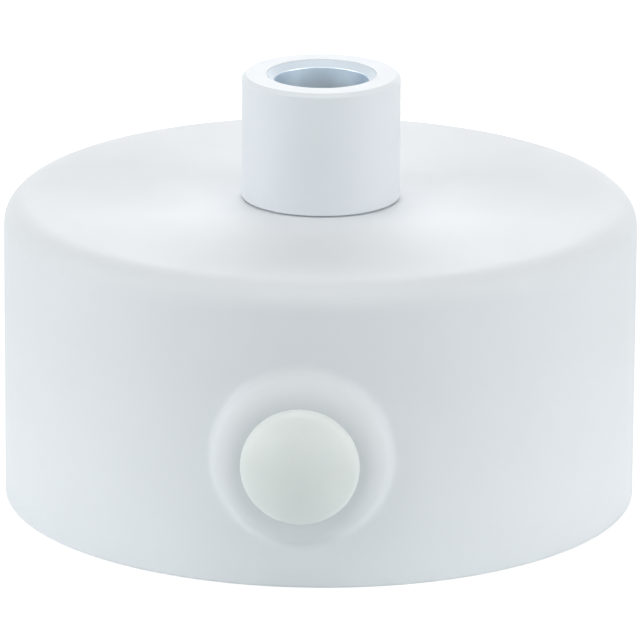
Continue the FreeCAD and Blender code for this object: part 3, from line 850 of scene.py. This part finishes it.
class ROSE_OT_collar(bpy.types.Operator):
    """Turns the collar and drills its back for the grub screw"""

    bl_idname = "rose.collar"
    bl_label = "Collar"

    # Depths of the paint groove at its outer and its inner side, in its own widths
    GROOVE = (1.5, 0.5)

    def execute(self, context):
        sizes = context.scene.rose_collar
        low = COLLAR.low.z
        top = COLLAR.high.z
        radius = COLLAR.high.x
        mouth = sizes.mouth_diameter / 2
        bore = sizes.thread_diameter / 2
        chamfer_edge = mouth + sizes.mouth_chamfer
        edge = sizes.top_chamfer
        soft = sizes.edge_soft
        foot = radius - sizes.foot_inset
        line = sizes.paint_line
        groove_floor, groove_step = (top - line * depth for depth in self.GROOVE)
        profile = rounded([
            (bore + edge, low, soft), (foot, low), (foot, low + sizes.foot_step),
            (radius, low + sizes.foot_step, soft / 2), (radius, top - edge, soft), (radius - edge, top, soft),
            (chamfer_edge + line, top, soft / 4), (chamfer_edge + line, groove_floor),
            (chamfer_edge, groove_floor), (chamfer_edge, groove_step),
            (mouth, top - sizes.mouth_chamfer, soft), (mouth, BUSH.low.z), (bore, BUSH.low.z),
            (bore, low + edge, soft),
        ])
        collar = turned("collar_turned", profile, FINE)
        hole = circle(GRUB.size.z / 2 + sizes.thread_gap)
        carve(collar, [prism("drill", hole, 0.0, radius * 2, place=laid(0.0, GRUB.middle.z))])
        dress(collar, "cord_grip_collar", "collar_paint", "collar")
        self.mask(collar, mouth + soft / 4, chamfer_edge)
        return {"FINISHED"}

    def mask(self, collar, bare, thin):
        """Leaves bare metal in the bore, and thin paint on the chamfer round it."""
        for name in ("bare_metal", "thin_paint"):
            collar.data.materials.append(finish(name))
        for face in collar.data.polygons:
            reach = face.center.xy.length
            if reach < bare:
                face.material_index = 1
            elif reach < thin:
                face.material_index = 2


class ROSE_OT_grip(bpy.types.Operator):
    """Makes the split bush and the grub screw that closes it"""

    bl_idname = "rose.grip"
    bl_label = "Grip bush and grub screw"

    def execute(self, context):
        sizes = context.scene.rose_collar
        self.bush(sizes)
        self.grub(sizes)
        return {"FINISHED"}

    def bush(self, sizes):
        radius = BUSH.high.x
        bore = sizes.bush_bore / 2
        edge = sizes.bush_chamfer
        soft = sizes.edge_soft
        low = BUSH.low.z
        top = BUSH.high.z
        profile = rounded([
            (bore, low, soft), (radius, low, soft), (radius, top, soft * 2), (bore + edge, top, soft),
            (bore, top - edge, soft),
        ])
        bush = turned("bush_split", profile)
        slit = oblong(sizes.bush_slit / 2, radius, centre=(0.0, -radius))
        carve(bush, [prism("saw", slit, 0.0, 2 * top)])
        dress(bush, "cord_clamp_bush", "bush_nylon", "clamp")

    def grub(self, sizes):
        crest = GRUB.size.z / 2
        reach = GRUB.size.y
        soft = sizes.edge_soft
        place = laid(GRUB.low.y, GRUB.middle.z)
        profile = rounded([
            (0.0, 0.0), (crest - sizes.grub_tip, 0.0), (crest, sizes.grub_tip),
            (crest, reach - soft), (crest - soft, reach), (0.0, reach),
        ])
        thread = Thread(crest, sizes.grub_pitch, sizes.grub_pitch * THREAD_DEPTH)
        grub = turned("grub_turned", profile, SMALL, thread, closed=False, place=place)
        hexagon = circle(sizes.grub_socket / math.sqrt(3), 6)
        carve(grub, [prism("broach", hexagon, reach - sizes.grub_socket_depth, reach * 2, place=place)])
        dress(grub, "collar_grub_screw", "zinc", "collar")


class ROSE_OT_plug(bpy.types.Operator):
    """Moulds the domed plug of the side outlet, with its split stem"""

    bl_idname = "rose.plug"
    bl_label = "Outlet plug"

    EDGE_STEPS = 10
    DOME_STEPS = 20

    def execute(self, context):
        sizes = context.scene.rose_plug
        sheet = context.scene.rose_cup.wall
        head = PLUG.size.x / 2
        rise = sizes.head_rise
        skirt = sizes.head_skirt
        face = -PLUG.low.y - rise
        tip = PLUG.high.y + face
        stem = sizes.stem_diameter / 2
        neck_end = -sheet - sizes.neck_depth
        soft = sizes.edge_soft
        bore = stem - sizes.stem_wall
        recess = stem + sizes.recess_width
        edge = sizes.head_edge
        cap = rise - skirt
        dome = ((head - edge) ** 2 + cap ** 2 - edge ** 2) / (2 * (cap - edge))
        dome_base = math.asin((dome - cap) / (dome - edge))
        profile = rounded([
            (0.0, -sheet), (bore, -sheet, soft * 2), (bore, -tip, soft),
            (stem - sizes.tip_chamfer, -tip, soft), (stem, sizes.tip_chamfer - tip, soft),
            (stem, neck_end - sizes.neck_depth, soft), (stem - sizes.neck_depth, neck_end),
            (stem - sizes.neck_depth, sizes.recess_depth), (recess, sizes.recess_depth),
            (recess, 0.0, soft), (head, 0.0, soft), (head, skirt),
        ], closed=False)
        profile += arc((head - edge, skirt), edge, 0.0, dome_base, self.EDGE_STEPS)[1:]
        profile += arc((0.0, rise - dome), dome, dome_base, QUARTER_TURN, self.DOME_STEPS)[1:]
        place = laid(-face, PLUG.middle.z, toward=-1)
        plug = turned("plug_moulded", profile, FINE, closed=False, place=place)
        half = sizes.slot_width / 2
        slots = (oblong(half, 2 * stem), oblong(2 * stem, half))
        carve(plug, [prism("saw", slot, -2 * tip, -sizes.slot_stop, place=place) for slot in slots])
        dress(plug, "side_outlet_plug", "plug_nylon", "plug")
        return {"FINISHED"}


class ROSE_OT_nipple(bpy.types.Operator):
    """Makes the threaded nipple, its lock nuts, its toothed washer and its nylon sleeve"""

    bl_idname = "rose.nipple"
    bl_label = "Nipple, nuts and washer"

    TOOTH_STEPS = 4
    # Share of its thickness that a tooth loses towards its tip
    TOOTH_TAPER = 0.1

    def execute(self, context):
        sizes = context.scene.rose_fixing
        self.nipple(sizes)
        for level in ("upper", "lower"):
            self.lock_nut("nut_" + level, level + "_lock_nut", sizes)
        self.washer(sizes)
        self.edge_bush(sizes)
        return {"FINISHED"}

    def nipple(self, sizes):
        crest = NIPPLE.high.x
        bore = sizes.nipple_bore / 2
        edge = sizes.nipple_thread_depth
        lower = [(bore, edge / 4), (bore + edge / 4, 0.0), (crest - edge, 0.0), (crest, edge)]
        profile = between(NIPPLE.low.z, NIPPLE.high.z, lower)
        nipple = turned("nipple_threaded", profile, thread=Thread(crest, sizes.nipple_pitch, edge))
        dress(nipple, "threaded_nipple", "zinc")

    def lock_nut(self, name, node, sizes):
        """A thin hexagonal nut whose corners are turned off."""
        solid = Solid(node)
        flat = sizes.nut_across_flats / 2
        drop = sizes.nut_corner_drop
        bore = NIPPLE.high.x + sizes.nut_gap
        lower = [(bore, drop / 2), (bore + drop / 2, 0.0), (flat - drop / 4, 0.0), (solid.high.x, drop)]
        nut = turned(name, between(solid.low.z, solid.high.z, lower), FINE)
        hexagon = circle(flat * 2 / math.sqrt(3), 6)
        carve(nut, [prism("hexagon", hexagon, solid.low.z - drop, solid.high.z + drop)], "INTERSECT")
        break_edges(nut, sizes.edge_soft)
        dress(nut, node, "zinc")

    def washer(self, sizes):
        half_sheet = sizes.washer_sheet / 2
        middle = WASHER.middle.z
        root = sizes.washer_root
        soft = sizes.edge_soft / 2
        lower = [(NIPPLE.high.x + sizes.nut_gap, 0.0, soft), (root, 0.0, soft)]
        washer = turned("washer_toothed", between(middle - half_sheet, middle + half_sheet, lower))
        half_width = FULL_TURN * root / sizes.washer_teeth / 2 - sizes.washer_notch / 2
        twist = math.asin((WASHER.size.z - sizes.washer_sheet) / (2 * half_width))
        start = root - sizes.washer_sheet
        end = math.sqrt(WASHER.high.x ** 2 - half_width ** 2)
        bm = bmesh.new()
        for tooth in range(sizes.washer_teeth):
            turn = Matrix.Rotation(FULL_TURN * (tooth + 0.5) / sizes.washer_teeth, 4, "Z")
            rings = []
            for step in range(self.TOOTH_STEPS + 1):
                share = step / self.TOOTH_STEPS
                lean = Matrix.Rotation(twist * share, 4, "X")
                ring = []
                for across, up in oblong(half_width, half_sheet, soft):
                    place = lean @ Vector((0.0, across, up * (1.0 - self.TOOTH_TAPER * share)))
                    place.x = start + (end - start) * share
                    ring.append(bm.verts.new(turn @ place + Vector((0.0, 0.0, middle))))
                rings.append(ring)
            skin(bm, rings)
            bm.faces.new(rings[0])
            bm.faces.new(rings[-1])
        carve(washer, [new_object("teeth", bm)], "UNION")
        dress(washer, "toothed_washer", "zinc")

    def edge_bush(self, sizes):
        bore = sizes.edge_bush_bore / 2
        flange = EDGE_BUSH.high.x
        sleeve = sizes.nipple_bore / 2 - sizes.nut_gap
        low = EDGE_BUSH.low.z
        top = EDGE_BUSH.high.z
        edge = sizes.edge_bush_round
        thin = (sleeve - bore) / 4
        profile = rounded([
            (bore, low, edge), (flange, low, edge), (flange, NIPPLE.low.z, edge / 4), (sleeve, NIPPLE.low.z),
            (sleeve, top, thin), (bore, top, thin),
        ])
        dress(turned("bush_edge", profile), "nipple_edge_bush", "bush_nylon")


class ROSE_OT_bracket(bpy.types.Operator):
    """Bends the mounting bracket out of one strip and punches it"""

    bl_idname = "rose.bracket"
    bl_label = "Mounting bracket"

    # A slot's ends are just short of half round, so that its long sides stay straight
    SLOT_ROUND = 0.999
    SLOT_STEPS = 10

    def execute(self, context):
        sizes = context.scene.rose_fixing
        strip = self.strip(sizes)
        carve(strip, [self.tab(sizes)], "UNION")
        carve(strip, self.punches(sizes, context.scene.rose_terminals))
        break_edges(strip, sizes.edge_soft)
        dress(strip, "mounting_bracket", "zinc")
        return {"FINISHED"}

    def strip(self, sizes):
        sheet = sizes.strip
        inner = sizes.bend_radius
        outer = inner + sheet
        end = BRACKET.high.x
        top = BRACKET.high.z
        leg = sizes.leg_place
        half = sizes.strip_width / 2
        side = both_sides([
            (leg - sheet, top - sheet, inner), (leg - sheet, 0.0, outer), (end, 0.0), (end, sheet),
            (leg, sheet, inner), (leg, top, outer),
        ])
        strip = prism("bracket_bent", side, -half, half, "XZ")
        blank = prism("blank", oblong(end, half, sizes.corner_radius), -sheet, top + sheet)
        carve(strip, [blank], "INTERSECT")
        return strip

    def tab(self, sizes):
        sheet = sizes.strip
        top = BRACKET.high.z
        face = HOUSING.low.y
        tip = sizes.tab_tip
        half = sizes.tab_width / 2
        side = rounded([
            (0.0, top - sheet), (face - sheet, top - sheet, sizes.bend_radius), (face - sheet, tip),
            (face, tip), (face, top, sizes.bend_radius + sheet), (0.0, top),
        ])
        tab = prism("tab", side, -half, half, "YZ")
        front = both_sides([(half, tip, sizes.corner_radius), (half, top + sheet)])
        carve(tab, [prism("blank", front, -sheet, face + sheet, "XZ")], "INTERSECT")
        return tab

    def punches(self, sizes, terminals):
        sheet = sizes.strip
        top = BRACKET.high.z
        half_width = sizes.slot_width / 2
        slots = []
        for side in (-1, 1):
            ends = (side * sizes.slot_place, 0.0)
            round_end = half_width * self.SLOT_ROUND
            slots.append(oblong(sizes.slot_length / 2, half_width, round_end, ends, self.SLOT_STEPS))
        gap = sizes.nut_gap
        nipple = circle(NIPPLE.high.x + sizes.bracket_gap + gap / 2, MEDIUM)
        earth = circle(sizes.earth_diameter / 2 + gap / 2, MEDIUM, (EARTH.middle.x, 0.0))
        centres = [(side * terminals.pole_pitch / 2, 0.0) for side in (-1, 1)]
        fixings = circles(terminals.fixing_diameter / 2 + gap, centres)
        place = laid(HOUSING.low.y, HOUSING.middle.z)
        return [
            *(prism("slot", slot, -sheet, 2 * sheet) for slot in slots),
            *(prism("hole", hole, top - 2 * sheet, top + sheet) for hole in (nipple, earth)),
            *(prism("hole", hole, -2 * sheet, sheet, place=place) for hole in fixings),
        ]


def slotted_screw(name, node, radii, levels, pitch, slot, place, soft):
    """A cheese-head screw made along Z, threaded and slotted, then laid in its place."""
    shank, head = radii
    tip, under_head, top = levels
    slot_width, slot_depth = slot
    depth = pitch * THREAD_DEPTH
    profile = rounded([
        (0.0, tip), (shank - depth, tip), (shank, tip + depth), (shank, under_head), (head, under_head, soft),
        (head, top, soft * 2), (0.0, top),
    ], closed=False)
    thread = Thread(shank, pitch, depth, tip, under_head)
    screw = turned(name, profile, SMALL, thread, closed=False, place=place)
    saw = prism("saw", oblong(2 * head, slot_width / 2), top - slot_depth, top + slot_depth, place=place)
    carve(screw, [saw])
    dress(screw, node, "zinc")


class ROSE_OT_earth(bpy.types.Operator):
    """Makes the earth screw and its saddle washer"""

    bl_idname = "rose.earth"
    bl_label = "Earth screw"

    # Outer radius of the saddle's bends, in sheets
    SADDLE_BEND = 0.7

    def execute(self, context):
        sizes = context.scene.rose_fixing
        sheet = sizes.saddle_sheet
        low = SADDLE.low
        high = SADDLE.high
        inner = high.y - sheet
        soft = sizes.edge_soft
        side = both_sides([
            (high.y, low.z, sheet * self.SADDLE_BEND), (high.y, high.z, soft), (inner, high.z, soft),
            (inner, low.z + sheet, soft),
        ])
        saddle = prism("saddle_bent", side, low.x, high.x, "YZ")
        hole = circle(sizes.earth_diameter / 2 + sizes.nut_gap, MEDIUM, (EARTH.middle.x, 0.0))
        carve(saddle, [prism("hole", hole, low.z - sheet, low.z + 2 * sheet)])
        dress(saddle, "earth_saddle_washer", "zinc")
        slotted_screw(
            "earth_cheese_head", "earth_screw",
            radii=(sizes.earth_diameter / 2, EARTH.high.y),
            levels=(EARTH.low.z, low.z + sheet, EARTH.high.z),
            pitch=sizes.earth_pitch,
            slot=(sizes.earth_slot, sizes.earth_slot),
            place=Matrix.Translation((EARTH.middle.x, 0.0, 0.0)),
            soft=soft,
        )
        return {"FINISHED"}


class ROSE_OT_terminals(bpy.types.Operator):
    """Moulds the terminal block and fits its brass sleeves and screws"""

    bl_idname = "rose.terminals"
    bl_label = "Terminal block"

    def execute(self, context):
        sizes = context.scene.rose_terminals
        self.face = HOUSING.low.y
        self.place = laid(self.face, HOUSING.middle.z)
        self.middles = [(index - 1) * sizes.pole_pitch for index in range(len(POLES))]
        self.fixings = (-sizes.pole_pitch / 2, sizes.pole_pitch / 2)
        self.towers = (-sizes.tower_place, sizes.tower_place)
        self.housing(sizes)
        clamping = (sizes.screw_diameter, sizes.screw_pitch)
        for x, pole in zip(self.middles, POLES):
            self.sleeve(sizes, pole, x)
            for end, y in zip(POLE_ENDS, self.towers):
                name = "screw_" + pole + "_" + end
                under_head = Solid("terminal_" + name).high.y - self.face - sizes.screw_head
                self.screw(sizes, name, "terminal_" + name, clamping, under_head, (x, y))
        fixing = (sizes.fixing_diameter, sizes.fixing_pitch)
        for side, x in zip(SIDES, self.fixings):
            node = "terminal_fixing_screw_" + side
            self.screw(sizes, "screw_fixing_" + side, node, fixing, sizes.web_height, (x, 0.0))
        return {"FINISHED"}

    def housing(self, sizes):
        """The moulding: three poles with their screw towers on one web."""
        bore = sizes.pole_bore / 2
        half = bore + sizes.pole_wall
        top = sizes.pole_height
        axis = sizes.axis_height
        end = HOUSING.size.z / 2
        tower_top = HOUSING.size.y
        poles = []
        for left, right in [(x - half, x + half) for x in self.middles]:
            poles.append(rounded([(left, 0.0), (right, 0.0), (right, top, bore), (left, top, bore)]))
        housing = prisms("terminal_moulding", poles, -end, end, "XZ", self.place)
        centres = [(x, y) for x in self.middles for y in self.towers]
        towers = circles(sizes.tower_diameter / 2, centres)
        web = oblong(sizes.pole_pitch, sizes.web_length / 2)
        carve(housing, [
            prisms("towers", towers, sizes.edge_round, tower_top, place=self.place),
            prism("web", web, 0.0, sizes.web_height, place=self.place),
        ], "UNION")
        wires = circles(bore, [(x, axis) for x in self.middles])
        wells = circles(sizes.tower_bore / 2, centres)
        holes = circles(sizes.fixing_diameter / 2 + sizes.gap, [(x, 0.0) for x in self.fixings])
        carve(housing, [
            prisms("bores", wires, -2 * end, 2 * end, "XZ", self.place),
            prisms("wells", wells, axis, 2 * tower_top, place=self.place),
            prisms("holes", holes, -sizes.web_height, 2 * sizes.web_height, place=self.place),
        ])
        break_edges(housing, sizes.edge_round)
        dress(housing, "terminal_housing", "housing_nylon")

    def sleeve(self, sizes, pole, x):
        """A brass sleeve with its two tapped holes."""
        node = "terminal_sleeve_" + pole
        solid = Solid(node)
        radius = solid.size.x / 2
        end = solid.size.z / 2
        axis = sizes.axis_height
        soft = sizes.edge_round / 2
        profile = between(-end, end, [(sizes.sleeve_bore / 2, 0.0, soft), (radius, 0.0, soft)])
        place = Matrix.Translation((x, solid.middle.y, HOUSING.middle.z))
        sleeve = turned("sleeve_" + pole, profile, SMALL, place=place)
        holes = circles(sizes.screw_diameter / 2 + sizes.gap, [(x, y) for y in self.towers])
        carve(sleeve, [prisms("tapping", holes, axis, axis + 2 * radius, place=self.place)])
        dress(sleeve, node, "brass")

    def screw(self, sizes, name, node, thread, under_head, middle):
        """A screw that stands on the tab; its thread is given as (diameter, pitch)."""
        solid = Solid(node)
        diameter, pitch = thread
        slotted_screw(
            name, node,
            radii=(diameter / 2, solid.size.x / 2),
            levels=(solid.low.y - self.face, under_head, solid.high.y - self.face),
            pitch=pitch,
            slot=(sizes.slot_width, sizes.slot_depth),
            place=self.place @ Matrix.Translation((*middle, 0.0)),
            soft=sizes.edge_round / 2,
        )


class ROSE_OT_stage(bpy.types.Operator):
    """Sets up the camera, the lamps, the floor and the white surroundings"""

    bl_idname = "rose.stage"
    bl_label = "Camera, lamps and floor"

    FLOOR_REACH = 3.0
    FLOOR_DROP = 0.05 * MM
    FLOOR_WHITE = (0.9, 0.9, 0.9, 1.0)
    FULL_WHITE = (1.0, 1.0, 1.0, 1.0)
    LAMP_AIM = Vector((0.0, 0.0, 20 * MM))
    # The place of each lamp, and its width and height
    LAMPS = {
        "top": ((0.0, -0.05, 0.6), (0.5, 0.5)),
        "back": ((0.0, 0.6, 0.35), (0.6, 0.25)),
        "left": ((-0.55, -0.15, 0.2), (0.3, 0.45)),
        "right": ((0.55, -0.15, 0.2), (0.3, 0.45)),
        "left_front": ((-0.4, -0.45, 0.3), (0.3, 0.3)),
        "right_front": ((0.4, -0.45, 0.3), (0.3, 0.3)),
    }

    def execute(self, context):
        stage = context.scene.rose_stage
        self.camera(context, stage)
        self.lamps(context, stage)
        self.floor(stage)
        self.surroundings(context, stage)
        context.scene.view_settings.view_transform = "Standard"
        return {"FINISHED"}

    def camera(self, context, stage):
        data = bpy.data.cameras.new("camera")
        data.lens = stage.focal_length
        data.clip_start = 10 * MM
        camera = bpy.data.objects.new("camera", data)
        context.scene.collection.objects.link(camera)
        aim = Vector((0.0, 0.0, stage.aim_height))
        level = math.cos(stage.elevation)
        back = Vector((
            math.sin(stage.azimuth) * level, -math.cos(stage.azimuth) * level, math.sin(stage.elevation),
        ))
        turn = back.to_track_quat("Z", "Y").to_matrix().to_4x4()
        roll = Matrix.Rotation(stage.roll, 4, "Z")
        camera.matrix_world = Matrix.Translation(aim + back * stage.distance) @ turn @ roll
        context.scene.camera = camera

    def lamps(self, context, stage):
        for name, (place, (width, height)) in self.LAMPS.items():
            data = bpy.data.lights.new("lamp_" + name, "AREA")
            data.shape = "RECTANGLE"
            data.size = width
            data.size_y = height
            data.energy = getattr(stage, name + "_power")
            if name.endswith("front"):
                data.color = stage.front_colour
            lamp = bpy.data.objects.new("lamp_" + name, data)
            context.scene.collection.objects.link(lamp)
            turn = (self.LAMP_AIM - Vector(place)).to_track_quat("-Z", "Y").to_matrix().to_4x4()
            lamp.matrix_world = Matrix.Translation(place) @ turn

    def floor(self, stage):
        bm = bmesh.new()
        bmesh.ops.create_circle(bm, cap_ends=True, segments=MEDIUM, radius=self.FLOOR_REACH)
        floor = new_object("floor", bm, Matrix.Translation((0.0, 0.0, -self.FLOOR_DROP)))
        surface = Surface("floor_white")
        seen = surface.seen()
        shades = {"Factor": seen, "A": (*stage.floor_bounce, 1.0), "B": self.FLOOR_WHITE}
        white = surface.node("Mix", shades, data_type="RGBA")["Result"]
        glow = surface.node("Math", {0: seen, 1: stage.floor_glow}, operation="MULTIPLY")["Value"]
        surface.set(
            Roughness=0.9, Specular_IOR_Level=0.1, Base_Color=white, Emission_Color=self.FULL_WHITE,
            Emission_Strength=glow,
        )
        floor.data.materials.append(surface.material)

    def surroundings(self, context, stage):
        world = bpy.data.worlds.new("surroundings")
        context.scene.world = world
        tree = Nodes(world)
        background = tree.nodes["Background"]
        tree.feed(background.inputs["Color"], self.FULL_WHITE)
        strength = tree.mapped(tree.seen(), (0.0, 1.0), (stage.ambient, 1.0))
        tree.feed(background.inputs["Strength"], strength)


class ROSE_PT_panel(bpy.types.Panel):
    """Sizes, finishes and stage of the ceiling rose"""

    bl_idname = "ROSE_PT_panel"
    bl_label = "Ceiling Rose"
    bl_space_type = "VIEW_3D"
    bl_region_type = "UI"
    bl_category = "Ceiling Rose"

    def draw(self, context):
        for title, group, _, operators in PARTS:
            box = self.layout.box()
            box.label(text=title)
            settings = getattr(context.scene, group)
            for name in settings.__annotations__:
                box.prop(settings, name)
            for operator in operators:
                box.operator(operator.bl_idname)


# Each part's title, where its settings hang on the scene, their class, and its operators
PARTS = (
    ("Stage", "rose_stage", StageSettings, (ROSE_OT_stage,)),
    ("Finishes", "rose_finishes", Finishes, ()),
    ("Cup", "rose_cup", CupSizes, (ROSE_OT_cup,)),
    ("Collar", "rose_collar", CollarSizes, (ROSE_OT_collar, ROSE_OT_grip)),
    ("Plug", "rose_plug", PlugSizes, (ROSE_OT_plug,)),
    ("Fixing", "rose_fixing", FixingSizes, (ROSE_OT_nipple, ROSE_OT_bracket, ROSE_OT_earth)),
    ("Terminals", "rose_terminals", TerminalSizes, (ROSE_OT_terminals,)),
)


def register():
    """Registers the classes and hangs the settings on the scene."""
    for _, name, group, operators in PARTS:
        bpy.utils.register_class(group)
        setattr(bpy.types.Scene, name, PointerProperty(type=group))
        for operator in operators:
            bpy.utils.register_class(operator)
    bpy.utils.register_class(ROSE_PT_panel)


def unregister():
    """Takes away what register() added."""
    bpy.utils.unregister_class(ROSE_PT_panel)
    for _, name, group, operators in reversed(PARTS):
        for operator in operators:
            bpy.utils.unregister_class(operator)
        delattr(bpy.types.Scene, name)
        bpy.utils.unregister_class(group)


def main():
    """Registers the add-on and builds every piece."""
    register()
    bpy.ops.rose.stage()
    bpy.ops.rose.cup()
    bpy.ops.rose.collar()
    bpy.ops.rose.grip()
    bpy.ops.rose.plug()
    bpy.ops.rose.nipple()
    bpy.ops.rose.bracket()
    bpy.ops.rose.earth()
    bpy.ops.rose.terminals()


if __name__ == "__main__":
    main()
